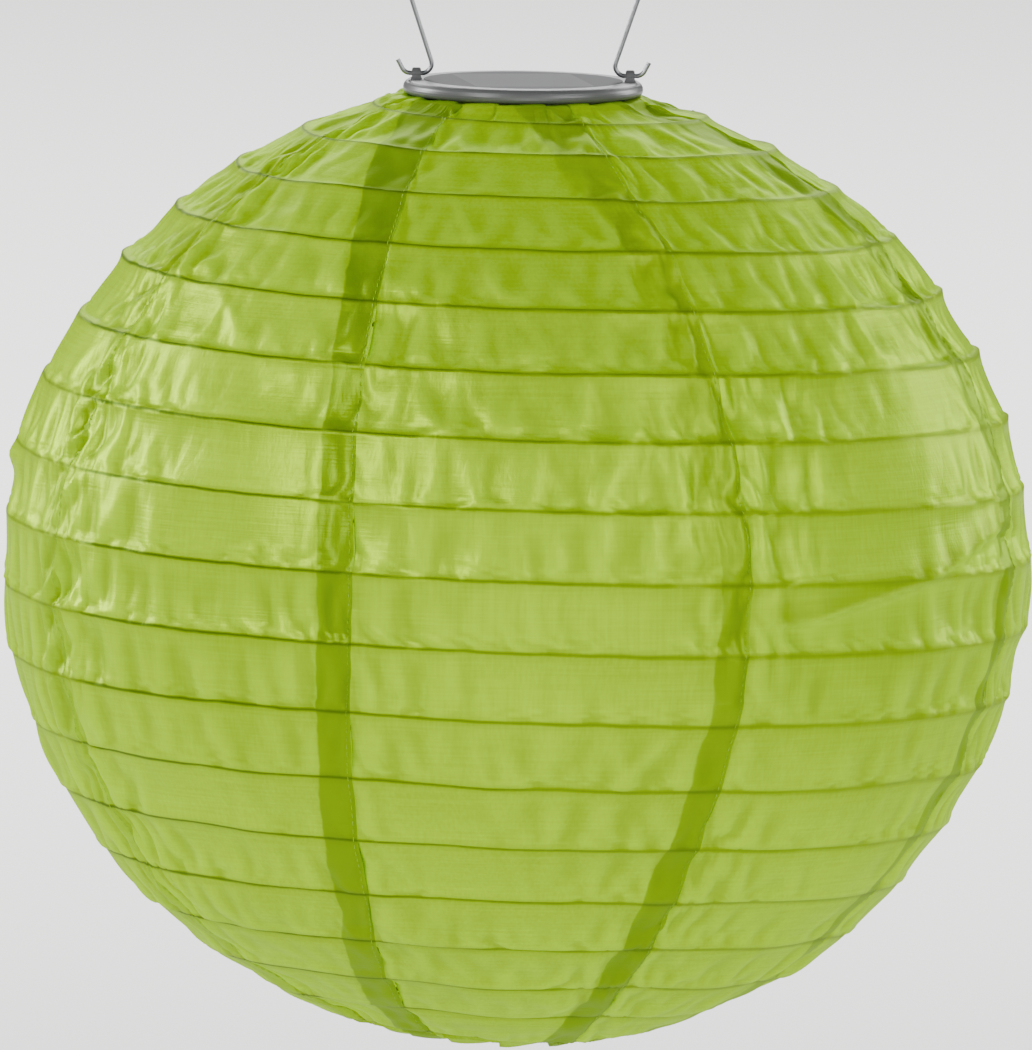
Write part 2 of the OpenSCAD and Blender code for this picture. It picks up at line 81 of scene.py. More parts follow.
def surface(theta, t, out=0.0):
    """Points on the globe at azimuth theta and polar angle t, in degrees, moved outwards by out.

    Past T_TOP and T_BOTTOM the cloth rolls round the wire ring there.
    """
    theta, t = np.broadcast_arrays(np.asarray(theta, float), np.asarray(t, float))
    tt = rad(np.clip(t, T_TOP, T_BOTTOM))
    ease = np.clip((t - HEM_EASE) / (T_BOTTOM - HEM_EASE), 0, 1)
    # the cloth droops a little by the bottom hem at the front, and stands a little proud of the top hem
    droop = 0.0018 * np.exp(-((turn_from(theta, -86) / 38) ** 2)) * np.clip((t - 152) / 12, 0, 1) ** 2
    out = np.asarray(out) + HEM_OUT * ease**2 * (3 - 2 * ease) + droop
    out = out + 0.0003 * np.clip((17 - t) / 3.5, 0, 1)
    nr, nz = np.sin(tt) / GA, np.cos(tt) / GB
    size = np.hypot(nr, nz)
    r = GA * np.sin(tt) + out * nr / size
    z = CENTRE_Z + GB * np.cos(tt) + out * nz / size
    for ring, past in ((TOP_RING, T_TOP - t), (BOTTOM_RING, t - T_BOTTOM)):
        past = np.clip(past, 0, None)
        roll = past > 0
        side = 1 if ring is TOP_RING else -1
        angle = np.arctan2((z - ring[1]) * side, r - ring[0]) + rad(past) * GA / HEM_OUT
        radius = np.hypot(r - ring[0], z - ring[1])
        radius = radius + (HEM_OUT - radius) * np.clip(past / 0.5, 0, 1)
        r = np.where(roll, ring[0] + radius * np.cos(angle), r)
        z = np.where(roll, ring[1] + radius * np.sin(angle) * side, z)
    th = rad(theta)
    return np.stack([r * np.cos(th), r * np.sin(th), z], -1)


def noise(p, short, long, seed, n=28):
    """Smooth noise of about unit size, made of waves whose lengths lie between short and long."""
    r = np.random.default_rng(seed)
    k = r.normal(size=(n, 3))
    k /= np.linalg.norm(k, axis=1, keepdims=True)
    k *= 2 * math.pi / np.exp(r.uniform(math.log(short), math.log(long), (n, 1)))
    return np.cos(p @ k.T + r.uniform(0, 2 * math.pi, n)).sum(-1) * math.sqrt(2 / n)


# How far each front seam strays from its meridian, in degrees, at these polar angles
STRAY_T = [13, 30, 45, 90, 131, 150, 166]
STRAY = {
    0: [-12, -5, -2.5, 0, -2.5, -8, -13],
    1: [-4, -6, -2, 0.5, -2.5, -3, -1],
    2: [5, 5, 4, 2, -4, -1, 0],
    7: [-3, 2, 3, 0, 1, 2, 4],
}
# How much spare cloth each seam gathers
CRINKLE = {0: 0.35, 1: 1.0, 2: 0.4, 3: 0.6, 4: 0.7, 5: 0.6, 6: 0.8, 7: 1.5}


def seam_theta(k, t):
    """Azimuth of seam k at polar angle t."""
    base = -90 + SEAM_TURN + GORE_TURN * k
    stray = np.interp(t, STRAY_T, STRAY.get(k % GORES, [0, 1, -1, 0, 1, 0, 0]))
    return base + stray


def seen(p):
    """Right and up from the globe's centre in millimetres, as seen from the front a little above level."""
    up = (p[..., 2] - CENTRE_Z) * math.cos(ELEV) + p[..., 1] * math.sin(ELEV)
    return np.stack([p[..., 0], up], -1) * 1000


# The edge of the large pleat on the right of the front, as points that seen() gives
PLEAT = np.array([(72, -19.5), (90, -16.3), (109, -9.6), (124, -3.7), (134, 3.7), (143, 11)])


def pleat(p):
    """How far the large pleat stands out, and how much lighter or darker it makes the cloth.

    The lapped cloth above the edge stands proud and is painted darker, in painted shade, and just below the
    edge a painted highlight makes it lighter.
    """
    flat = seen(p)
    x = flat[..., 0]
    above = (flat[..., 1] - np.interp(x, *PLEAT.T)) * 0.87
    ends = np.clip((x - 70) / 16, 0, 1) * np.clip((151 - x) / 8, 0, 1) * (p[..., 1] < 0)
    over = 1 / (1 + np.exp(-np.clip(above, -30, 30) / 0.4))
    up, down = np.clip(above, 0, 60), np.clip(above, -60, 0)
    out = 0.0022 * over * np.exp(-((up / 8) ** 2)) - 0.0006 * (1 - over) * np.exp(down / 4)
    # tone: painted highlight just below the edge, painted shade on the lap above it
    tone = (1 - over) * np.exp(down / 3.6) - 0.7 * over * np.exp(-((up / 6) ** 4))
    return out * ends, tone * ends


def strip(theta, t):
    """How many turns of the rib lie above a point."""
    return (t - T0) / DT - (theta + 90 - RIB_START) / 360


# Soft creases across the front: height and width in millimetres, then points that seen() gives
CREASES = [
    (0.35, 1.6, [(-20, 106), (-8, 82), (10, 61)]),
    (0.30, 1.6, [(-41, 38), (-30, 5), (-13, -52), (4, -98)]),
    (0.5, 2.0, [(30, -66), (52, -44), (70, -40)]),
    (0.45, 2.0, [(-96, 92), (-84, 70), (-76, 52)]),
    (0.5, 2.2, [(74, 106), (92, 88), (104, 62)]),
    (0.4, 2.0, [(58, 92), (66, 66), (69, 40), (74, 12)]),
    (0.3, 1.8, [(30, 118), (26, 96), (24, 70)]),
    (0.35, 1.8, [(-60, 116), (-74, 84), (-84, 60)]),
]
# Rumpled patches: azimuth, polar angle, their half widths, share of spare cloth
RUMPLED = [
    (-45, 48, 18, 20, 0.020),
    (-76, 66, 13, 16, 0.013),
    (-92, 22, 30, 7, 0.014),
    (-150, 45, 14, 16, 0.012),
    (-68, 128, 12, 14, 0.014),
    (-30, 95, 16, 16, 0.010),
    (-112, 100, 16, 30, 0.004),
    (40, 60, 20, 20, 0.014),
    (130, 100, 20, 30, 0.012),
]
# Places where the cloth is drawn in or pushed out: azimuth, polar angle, their half widths, depth in metres
DENTS = [
    (-2, 101.5, 9, 5, -0.0030),
    (-178, 77.5, 6, 1.6, 0.0034),
    (-30, 104, 14, 3, -0.0012),
    (-4, 56, 9, 4, -0.0012),
    (178, 120, 8, 4, -0.0015),
    (-178, 48, 8, 4, -0.0012),
]
# Sharp folds along a seam: seam, polar angles between which they lie, how many, depth in metres,
# relative size, and between which angles they lean
PUCKERS = [
    (7, 34, 136, 70, 0.0015, 1.5, (100, 155)),
    (1, 30, 80, 40, 0.0006, 1.0, (35, 145)),
    (2, 62, 120, 25, 0.0005, 1.0, (35, 145)),
]


def puckers(theta, t):
    """Sharp little folds that fan out from the gathered seams."""
    draws = np.random.default_rng(83)
    out = np.zeros(theta.shape)
    for seam, t_from, t_to, count, depth, size, leans in PUCKERS:
        for _ in range(count):
            tc, lean = draws.uniform(t_from, t_to), rad(draws.uniform(*leans))
            wide, reach = size * draws.uniform(0.0012, 0.0021), size * draws.uniform(0.004, 0.010)
            high = depth * draws.uniform(0.4, 1.0) * draws.choice([-1, 1])
            level = turn_from(theta - seam_theta(seam, tc), draws.normal(0, 2.0))
            u, v = rad(level) * GA * math.sin(rad(tc)), rad(t - tc) * GA
            along = u * math.cos(lean) + v * math.sin(lean)
            across = v * math.cos(lean) - u * math.sin(lean)
            out += high * np.exp(-((np.abs(across) / wide) ** 1.3) - (along / reach) ** 2)
    return out


def finishing(theta, t):
    """Creases and dents that the cloth keeps from its packing, as a distance outwards."""
    s = strip(theta, t)
    f = s - np.floor(s)
    w = 4 * f * (1 - f)  # 0 at the ribs and 1 halfway between them
    p = surface(theta, t)
    front = p[..., 1] < 0
    flat = seen(p)
    out = np.zeros(theta.shape)
    for high, wide, line in CREASES:
        line = np.array(line, float)
        away = np.full(theta.shape, np.inf)
        for a, b in zip(line[:-1], line[1:], strict=True):
            h = np.clip(((flat - a) @ (b - a)) / ((b - a) @ (b - a)), 0, 1)
            away = np.minimum(away, np.linalg.norm(flat - a - h[..., None] * (b - a), axis=-1))
        out += 0.001 * high * np.exp(-((away / wide) ** 2)) * front * w**0.4
    # each strip of cloth is drawn in or puffed out a little differently on its way round
    row = np.floor(s)
    puff = noise(np.stack([p[..., 0], p[..., 1], row * 0.11], -1), 0.06, 0.2, 61)
    out += (0.00075 * np.clip(puff, -2.2, 1.3) - 0.0003) * w**0.8 * np.clip((t - 30) / 25, 0.25, 1)
    for th0, t0, dth, dt, depth in DENTS:
        turn = turn_from(theta, th0)
        out += depth * np.exp(-((turn / dth) ** 2) - ((t - t0) / dt) ** 2) * w**0.7
    return out + puckers(theta, t) * w**0.5 + pleat(p)[0]


def mesh_object(name, verts, faces, material, floats=None):
    """A new smooth object with one material, and with floats as attributes of its points."""
    me = bpy.data.meshes.new(name)
    me.from_pydata(np.asarray(verts, float).tolist(), [], faces)
    me.update()
    for key, values in (floats or {}).items():
        a = me.attributes.new(key, "FLOAT", "POINT")
        a.data.foreach_set("value", np.asarray(values, np.float32))
    me.shade_smooth()
    ob = bpy.data.objects.new(name, me)
    bpy.context.scene.collection.objects.link(ob)
    me.materials.append(material)
    return ob


# ---- Materials ----


def new_material(name):
    """A new material, its nodes, its Principled shader and its output."""
    m = bpy.data.materials.new(name)
    m.use_nodes = True
    nt = m.node_tree
    nt.nodes.clear()
    out = nt.nodes.new("ShaderNodeOutputMaterial")
    bsdf = nt.nodes.new("ShaderNodeBsdfPrincipled")
    nt.links.new(bsdf.outputs[0], out.inputs[0])
    return m, nt, bsdf, out


def node(nt, kind, inputs=None, **props):
    """Adds a node, with each input linked to a socket or set to a value."""
    n = nt.nodes.new(kind)
    for k, v in props.items():
        setattr(n, k, v)
    for k, v in (inputs or {}).items():
        if isinstance(v, bpy.types.NodeSocket):
            nt.links.new(v, n.inputs[k])
        else:
            n.inputs[k].default_value = v
    return n


def maths(nt, op, a, b=0.0, c=0.0, clamp=False):
    return node(nt, "ShaderNodeMath", {0: a, 1: b, 2: c}, operation=op, use_clamp=clamp).outputs[0]


def mix(nt, factor, a, b):
    n = node(nt, "ShaderNodeMix", data_type="RGBA")
    for i, v in ((0, factor), (6, a), (7, b)):
        if isinstance(v, bpy.types.NodeSocket):
            nt.links.new(v, n.inputs[i])
        else:
            n.inputs[i].default_value = v
    return n.outputs[2]


def coordinates(nt, **mapping):
    """Object coordinates, scaled or turned as mapping says."""
    at = node(nt, "ShaderNodeTexCoord").outputs["Object"]
    return node(nt, "ShaderNodeMapping", {"Vector": at, **mapping}).outputs[0] if mapping else at


def noise_map(nt, at, scale=1.0, detail=2.0):
    return node(nt, "ShaderNodeTexNoise", {"Vector": at, "Scale": scale, "Detail": detail}).outputs[0]


def attribute(nt, name):
    return node(nt, "ShaderNodeAttribute", attribute_name=name).outputs["Fac"]


def bumped(nt, bsdf, height, strength, distance):
    """Gives the shader a bump, and returns the bump's normal."""
    bump = node(nt, "ShaderNodeBump", {"Height": height, "Strength": strength, "Distance": distance})
    nt.links.new(bump.outputs[0], bsdf.inputs["Normal"])
    return bump.outputs[0]


def shade(colour, by=1.0):
    """The colour made lighter or darker, with its alpha."""
    return [min(1, c * by) for c in colour] + [1]


def grained(name, colour, rough, metal=0.0, grain=900, spread=0.06, bump=0.05, size=0.00005):
    """A plain moulded, drawn or plated finish with fine grain in its colour, roughness and surface."""
    m, nt, bsdf, _ = new_material(name)
    at = coordinates(nt)
    fine = noise_map(nt, at, grain, 3.0)
    broad = noise_map(nt, at, 45.0)
    share = maths(nt, "ADD", maths(nt, "MULTIPLY", fine, 0.7), maths(nt, "MULTIPLY", broad, 0.3))
    dark, light = shade(colour, 1 - spread), shade(colour, 1 + spread)
    nt.links.new(mix(nt, share, dark, light), bsdf.inputs["Base Color"])
    nt.links.new(maths(nt, "MULTIPLY_ADD", broad, 0.12, rough - 0.06), bsdf.inputs["Roughness"])
    bumped(nt, bsdf, fine, bump, size)
    bsdf.inputs["Metallic"].default_value = metal
    return m


def painted_fold_shade_and_highlight(nt, main, colour):
    """Paints shade into the hollows of the cloth's folds and paints a highlight onto their crests."""
    fold = attribute(nt, "fold")
    colour = mix(nt, maths(nt, "MULTIPLY", fold, -0.45, clamp=True), colour, shade(main, 0.62))
    return mix(nt, maths(nt, "MULTIPLY", fold, 0.4, clamp=True), colour, shade(main, 1.28))


def doubled_band(nt, at, cloud, colour):
    """Shows the doubled cloth beside each seam through the gore, as a darker band with a frayed edge."""
    fray = maths(nt, "MULTIPLY_ADD", noise_map(nt, at, 48.0, 3.0), 0.0064, -0.0032)
    edge = maths(nt, "ADD", attribute(nt, "tape_width"), fray)
    inside = maths(nt, "SUBTRACT", edge, attribute(nt, "from_seam"))
    band = maths(nt, "DIVIDE", inside, 0.0006, clamp=True)
    patchy = maths(nt, "MULTIPLY", maths(nt, "MULTIPLY_ADD", cloud, 0.6, 0.6), attribute(nt, "tape_tone"))
    return mix(nt, maths(nt, "MULTIPLY", band, patchy, clamp=True), colour, shade(DOUBLED))


def rib_painted_shadow(nt, at, turn, colour):
    """Paints the rib through the cloth: a dark line that is the wire seen through and its painted shadow, in
    a wider painted shade, finer and paler towards the right.
    """
    wander = maths(nt, "MULTIPLY_ADD", noise_map(nt, at, 90.0, 1.0), 0.04, -0.02)
    s = maths(nt, "FRACT", maths(nt, "ADD", maths(nt, "ADD", turn, wander), 0.5))
    off = maths(nt, "ABSOLUTE", maths(nt, "SUBTRACT", s, 0.5))
    x = node(nt, "ShaderNodeSeparateXYZ", {0: at}).outputs[0]
    crisp = maths(nt, "MULTIPLY_ADD", x, -3.4, 0.58, clamp=True)
    # it is fainter again at the far left, where the cloth is gathered
    loose = maths(nt, "MULTIPLY_ADD", x, 70.0, 9.6)
    crisp = maths(nt, "MULTIPLY", crisp, maths(nt, "MAXIMUM", maths(nt, "MINIMUM", loose, 1.0), 0.4))
    half = maths(nt, "MAXIMUM", maths(nt, "MULTIPLY_ADD", x, 0.28, 0.036), 0.034)
    line = maths(nt, "SUBTRACT", 1.0, maths(nt, "DIVIDE", off, half), clamp=True)
    line = maths(nt, "MULTIPLY", maths(nt, "POWER", line, 0.7), crisp)
    # a wider, fainter painted shade along the rib
    soft = maths(nt, "SUBTRACT", 1.0, maths(nt, "DIVIDE", off, 0.16), clamp=True)
    soft = maths(nt, "MULTIPLY", maths(nt, "POWER", soft, 2.0), 0.26)
    return mix(nt, maths(nt, "ADD", line, soft, clamp=True), colour, shade(RIB_SHADOW))


def nylon(name, main, translucent, gore=False):
    """Satin nylon: a woven, slightly uneven cloth that lets light through.

    A gore also has painted shade and highlights on its folds and strips, the doubled cloth beside its seam,
    and the rib with its painted shadow.
    """
    m, nt, bsdf, out = new_material(name)
    at = coordinates(nt)
    cloud = noise_map(nt, at, 14.0, 3.0)
    weft = noise_map(nt, coordinates(nt, Scale=(40, 40, 1500)))
    warp = noise_map(nt, coordinates(nt, Scale=(1100, 1100, 40)))
    threads = maths(nt, "ADD", maths(nt, "MULTIPLY", weft, 0.5), maths(nt, "MULTIPLY", warp, 0.5))
    weave = maths(nt, "MULTIPLY_ADD", threads, 2.2, -0.6)
    tone = maths(nt, "ADD", maths(nt, "MULTIPLY", cloud, 0.6), maths(nt, "MULTIPLY", weave, 0.4))
    if gore:
        # painted light and shade: each strip is a little darker just under the rib above it and lighter
        # towards the rib below it, as if lit from above
        turn = attribute(nt, "rib_turn")
        strip_painted_light = maths(nt, "POWER", maths(nt, "FRACT", turn), 1.6)
        tone = maths(nt, "ADD", tone, maths(nt, "MULTIPLY_ADD", strip_painted_light, 0.24, -0.09))
    tone = maths(nt, "MULTIPLY_ADD", tone, 1.9, -0.45, clamp=True)
    colour = mix(nt, tone, shade(main, 0.84), shade(main, 1.13))
    if gore:
        # painted shade in the hollows of the folds and painted highlight on their crests
        colour = painted_fold_shade_and_highlight(nt, main, colour)
        colour = doubled_band(nt, at, cloud, colour)
        colour = rib_painted_shadow(nt, at, turn, colour)
    nt.links.new(colour, bsdf.inputs["Base Color"])
    bsdf.inputs["Roughness"].default_value = 0.43
    bsdf.inputs["Metallic"].default_value = 0.38
    bsdf.inputs["Specular IOR Level"].default_value = 0.15
    bsdf.inputs["Specular Tint"].default_value = (0.86, 1.0, 0.25, 1)
    # the bump is the weave, small rumples, and sharper creases that run down the cloth
    rumple = noise_map(nt, at, 160.0, 3.0)
    crease = noise_map(nt, coordinates(nt, Scale=(62, 62, 30)), 1.0, 1.0)
    crease = maths(nt, "ABSOLUTE", maths(nt, "SUBTRACT", crease, 0.5))
    height = maths(nt, "ADD", maths(nt, "MULTIPLY", rumple, 0.45), maths(nt, "MULTIPLY", threads, 0.6))
    height = maths(nt, "ADD", height, maths(nt, "MULTIPLY", crease, 3.0))
    normal = bumped(nt, bsdf, height, 0.55, 0.0005)
    through = node(nt, "ShaderNodeBsdfTranslucent", {"Color": colour, "Normal": normal})
    both = node(nt, "ShaderNodeMixShader", {0: translucent, 1: bsdf.outputs[0], 2: through.outputs[0]})
    nt.links.new(both.outputs[0], out.inputs[0])
    return m


LIME = (0.52, 0.79, 0.0)
DOUBLED = (0.27, 0.46, 0.0)
# the colour of the rib's painted shadow
RIB_SHADOW = (0.11, 0.21, 0.0)
cloth_mat = nylon("nylon_gores", LIME, 0.45, gore=True)
seam_mat = nylon("nylon_seam_allowance", (0.36, 0.60, 0.004), 0.35)
hem_mat = nylon("nylon_hem", (0.40, 0.66, 0.004), 0.2)
thread_mat = grained("sewing_thread", (0.33, 0.56, 0.005), 0.7, grain=2500, bump=0.3, size=0.0001)
rib_mat = grained("coated_rib_wire", (0.16, 0.19, 0.07), 0.45, grain=1500)
steel_mat = grained("bright_steel_wire", (0.24, 0.243, 0.25), 0.30, 1.0, grain=1800, bump=0.08)
plate_mat = grained("zinc_plated_steel", (0.62, 0.63, 0.65), 0.35, 1.0, grain=1500)
cap_mat = grained("satin_silver_plastic", (0.115, 0.116, 0.118), 0.37, 0.3, grain=2600, spread=0.16, bump=0.1)
housing_mat = grained("grey_housing_plastic", (0.24, 0.245, 0.25), 0.45, 0.2, grain=1500, bump=0.12)
door_mat = grained("grey_door_plastic", (0.22, 0.225, 0.23), 0.45, 0.2, grain=1500, bump=0.12)
black_mat = grained("black_plastic", (0.015, 0.015, 0.016), 0.5, grain=1500)
rubber_mat = grained("black_rubber", (0.02, 0.02, 0.02), 0.7, grain=1200, bump=0.2)
white_mat = grained("white_knob_plastic", (0.78, 0.78, 0.76), 0.4, grain=1500)
board_mat = grained("green_solder_mask", (0.01, 0.14, 0.04), 0.3, grain=700, spread=0.25)
copper_mat = grained("plated_contact", (0.72, 0.62, 0.38), 0.3, 1.0)
back_mat = grained("white_cell_laminate", (0.70, 0.70, 0.66), 0.5)
ferrite_mat = grained("dark_ferrite", (0.04, 0.04, 0.045), 0.6, grain=1500, bump=0.2)
can_mat = grained("capacitor_sleeve", (0.05, 0.08, 0.22), 0.35)
battery_mat = grained("green_battery_sleeve", (0.03, 0.24, 0.07), 0.3, 0.1)
red_mat = grained("red_lead", (0.45, 0.01, 0.01), 0.45)
lead_mat = grained("black_lead", (0.015, 0.015, 0.015), 0.45)

CELL_TURN = (0, 0, rad(-10))  # how the solar cell is turned in the round cap
CELL_HALF = (0.0177, 0.0217)  # half its width and length in metres


def window_material():
    """A frosted grey resin disc with the solar cell printed faintly through it."""
    m, nt, bsdf, _ = new_material("frosted_panel_resin")
    at = coordinates(nt)
    xyz = node(nt, "ShaderNodeSeparateXYZ", {0: coordinates(nt, Rotation=CELL_TURN)}).outputs
    inside_x = maths(nt, "LESS_THAN", maths(nt, "ABSOLUTE", xyz[0]), CELL_HALF[0])
    inside_y = maths(nt, "LESS_THAN", maths(nt, "ABSOLUTE", xyz[1]), CELL_HALF[1])
    cell = maths(nt, "MULTIPLY", inside_x, inside_y)
    line = maths(nt, "FRACT", maths(nt, "MULTIPLY", xyz[1], 1 / 0.0031))
    line = maths(nt, "MULTIPLY", maths(nt, "LESS_THAN", line, 0.09), cell)
    speck = noise_map(nt, at, 2200.0)
    plain = mix(nt, speck, (0.062, 0.063, 0.066, 1), (0.10, 0.101, 0.105, 1))
    bright = mix(nt, speck, (0.10, 0.102, 0.106, 1), (0.145, 0.147, 0.152, 1))
    colour = mix(nt, cell, plain, bright)
    colour = mix(nt, maths(nt, "MULTIPLY", line, 0.35), colour, (0.20, 0.203, 0.208, 1))
    nt.links.new(colour, bsdf.inputs["Base Color"])
    nt.links.new(maths(nt, "MULTIPLY_ADD", speck, 0.1, 0.55), bsdf.inputs["Roughness"])
    bumped(nt, bsdf, speck, 0.08, 0.00005)
    bsdf.inputs["Specular IOR Level"].default_value = 0.08
    return m


def cell_material():
    """Dark solar cells with fine grid lines and two bus bars."""
    m, nt, bsdf, _ = new_material("solar_cell_glass")
    at = coordinates(nt)
    xyz = node(nt, "ShaderNodeSeparateXYZ", {0: coordinates(nt, Rotation=CELL_TURN)}).outputs
    fine = maths(nt, "FRACT", maths(nt, "MULTIPLY", xyz[1], 1 / 0.0016))
    fine = maths(nt, "LESS_THAN", fine, 0.08)
    from_bar = maths(nt, "ABSOLUTE", maths(nt, "SUBTRACT", maths(nt, "ABSOLUTE", xyz[0]), 0.009))
    bar = maths(nt, "LESS_THAN", from_bar, 0.0005)
    grain = node(nt, "ShaderNodeTexVoronoi", {"Vector": at, "Scale": 260.0}).outputs["Color"]
    base = mix(nt, maths(nt, "MULTIPLY", grain, 0.35), (0.01, 0.014, 0.05, 1), (0.04, 0.06, 0.16, 1))
    colour = mix(nt, maths(nt, "MAXIMUM", fine, bar), base, (0.5, 0.5, 0.5, 1))
    nt.links.new(colour, bsdf.inputs["Base Color"])
    bsdf.inputs["Roughness"].default_value = 0.18
    bsdf.inputs["Coat Weight"].default_value = 0.6
    return m


def lens_material(name, colour, rough, through):
    """Clear or frosted plastic with a slight haze."""
    m, nt, bsdf, _ = new_material(name)
    haze = noise_map(nt, coordinates(nt), 500.0)
    nt.links.new(mix(nt, haze, shade(colour, 0.93), shade(colour)), bsdf.inputs["Base Color"])
    nt.links.new(maths(nt, "MULTIPLY_ADD", haze, 0.1, rough), bsdf.inputs["Roughness"])
    bsdf.inputs["Transmission Weight"].default_value = through
    bsdf.inputs["IOR"].default_value = 1.49
    return m


FINISH = {
    "bail_handle": steel_mat,
    "cap_shell": cap_mat,
    "panel_window": window_material(),
    "panel_seal": rubber_mat,
    "solar_cell": cell_material(),
    "cell_backing": back_mat,
    "module_housing": housing_mat,
    "housing_seal": rubber_mat,
    "housing_screws": plate_mat,
    "grip_pads": rubber_mat,
    "circuit_board": board_mat,
    "control_chip": black_mat,
    "inductor": ferrite_mat,
    "capacitors": can_mat,
    "led": lens_material("led_epoxy", (0.95, 0.88, 0.60), 0.08, 0.5),
    "led_lens": lens_material("frosted_lens", (0.92, 0.93, 0.94), 0.35, 0.6),
    "switch_body": black_mat,
    "switch_knob": white_mat,
    "battery": battery_mat,
    "battery_spring": steel_mat,
    "battery_contact": copper_mat,
    "battery_door": door_mat,
    "door_pin": plate_mat,
    "cell_leads": red_mat,
    "battery_leads": lead_mat,
    "top_ring": plate_mat,
    "bottom_ring": plate_mat,
}
for name, material in FINISH.items():
    NODES[name].data.materials.clear()
    NODES[name].data.materials.append(material)


# ---- The cloth: eight gores, each following the spiral rib ----

# Rows of cloth between two ribs, columns between two seams, and how often the net is relaxed
ROWS = 16
COLS = 96
STEPS = 130
# The net's threads: how many columns and rows ahead each one reaches, and how stiff it is
THREADS = [((1, 0), 1.0), ((0, 1), 1.0), ((1, 1), 0.5), ((1, -1), 0.5), ((2, 0), 0.12), ((0, 2), 0.12)]
SAG = 0.000008  # how far the cloth falls at each step
INWARDS, OUTWARDS = -0.005, 0.0018  # how far the settled cloth may lie from a taut one
FOLD_HEIGHT = 0.0006  # a hollow this deep has its full painted shade, and a crest this high its full painted highlight


def gore_grid(k):
    """Azimuth and polar angle of gore k's vertices.

    Columns run from its left seam to its right, and every ROWS-th row lies on the rib.
    """
    share = np.linspace(0, 1, COLS + 1)[:, None]
    rows = np.arange(-ROWS, (TURNS + 1) * ROWS + 1)[None, :] / ROWS
    theta = (-90 + SEAM_TURN + GORE_TURN * (k + share)) + 0 * rows
    for _ in range(4):
        t = np.clip(T0 + DT * (rows + (theta + 90 - RIB_START) / 360), T_TOP - ROLL, T_BOTTOM + ROLL)
        theta = seam_theta(k, t) * (1 - share) + seam_theta(k + 1, t) * share
    return theta, t


def gore_faces(t):
    """Which grid points become vertices, as the clamped ends of a column share one, and the faces."""
    new = np.ones_like(t, bool)
    new[:, 1:] = np.abs(np.diff(t, axis=1)) > 1e-6
    ids = np.cumsum(new.ravel()).reshape(t.shape) - 1
    faces = []
    a, b, c, d = ids[:-1, :-1], ids[:-1, 1:], ids[1:, 1:], ids[1:, :-1]
    for quad in np.stack([a, b, c, d], -1).reshape(-1, 4):
        f = [int(v) for i, v in enumerate(quad) if v != quad[i - 1]]
        if len(f) >= 3:
            faces.append(f)
    return new.ravel(), faces


def seam_distance(k, theta, t, side):
    """Distance in metres from a point of gore k to its left (0) or right (1) seam."""
    return (seam_theta(k + side, t) - theta) * degree_arc(t) * (1 if side else -1)


def spare_cloth(k, theta, t):
    """The share by which the cloth is wider than the globe at each point of gore k."""
    p = surface(theta, t)
    spare = -0.0010 + 0.0075 * np.clip(noise(p, 0.05, 0.13, 7), -0.9, 1.6)
    for th0, t0, dth, dt, more in RUMPLED:
        turn = turn_from(theta, th0)
        spare = spare + more * np.exp(-((turn / dth) ** 2) - ((t - t0) / dt) ** 2)
    for side in (0, 1):
        d = seam_distance(k, theta, t, side)
        a = CRINKLE[(k + side) % GORES] * np.clip(0.9 + 0.5 * noise(p, 0.04, 0.1, 21 + side), 0.2, 1.8)
        spare = spare + a * (0.045 * np.exp(-((d / 0.012) ** 2)) + 0.014 * np.exp(-((d / 0.030) ** 2)))
    return spare


def stretch(p, free, ahead, rest, stiff, push_only=False):
    """Pulls each pair of grid points that lie ahead = (columns, rows) apart towards its rest length."""
    dc, dr = ahead
    cols, rows = p.shape[1], p.shape[2]
    r0, r1 = max(0, -dr), rows - max(0, dr)
    step = 2 * max(dc, dr if dc == 0 else 0)
    for start in range(step):
        if dc:
            a = (slice(None), slice(start, cols - dc, step), slice(r0, r1))
            b = (slice(None), slice(start + dc, cols, step), slice(r0 + dr, r1 + dr))
            length = rest[:, start::step]
        else:
            a = (slice(None), slice(None), slice(start, rows - dr, step))
            b = (slice(None), slice(None), slice(start + dr, rows, step))
            length = rest[:, :, start::step]
        d = p[b] - p[a]
        now = np.sqrt(np.einsum("...i,...i", d, d)) + 1e-9
        wa, wb = free[a], free[b]
        gap = (now - length) / now * stiff / (wa + wb + 1e-6)
        if push_only:
            gap = np.minimum(gap, 0)
        d *= gap[..., None]
        p[a] += d * wa[..., None]
        p[b] -= d * wb[..., None]


def sway(p):
    """How far the ribs stand off a perfect globe, as a distance outwards."""
    top = np.clip((-0.108 - p[..., 2]) / 0.006, 0, 1)
    return (0.00035 * noise(p, 0.03, 0.09, 3) + 0.0005 * noise(p, 0.09, 0.2, 4)) * top


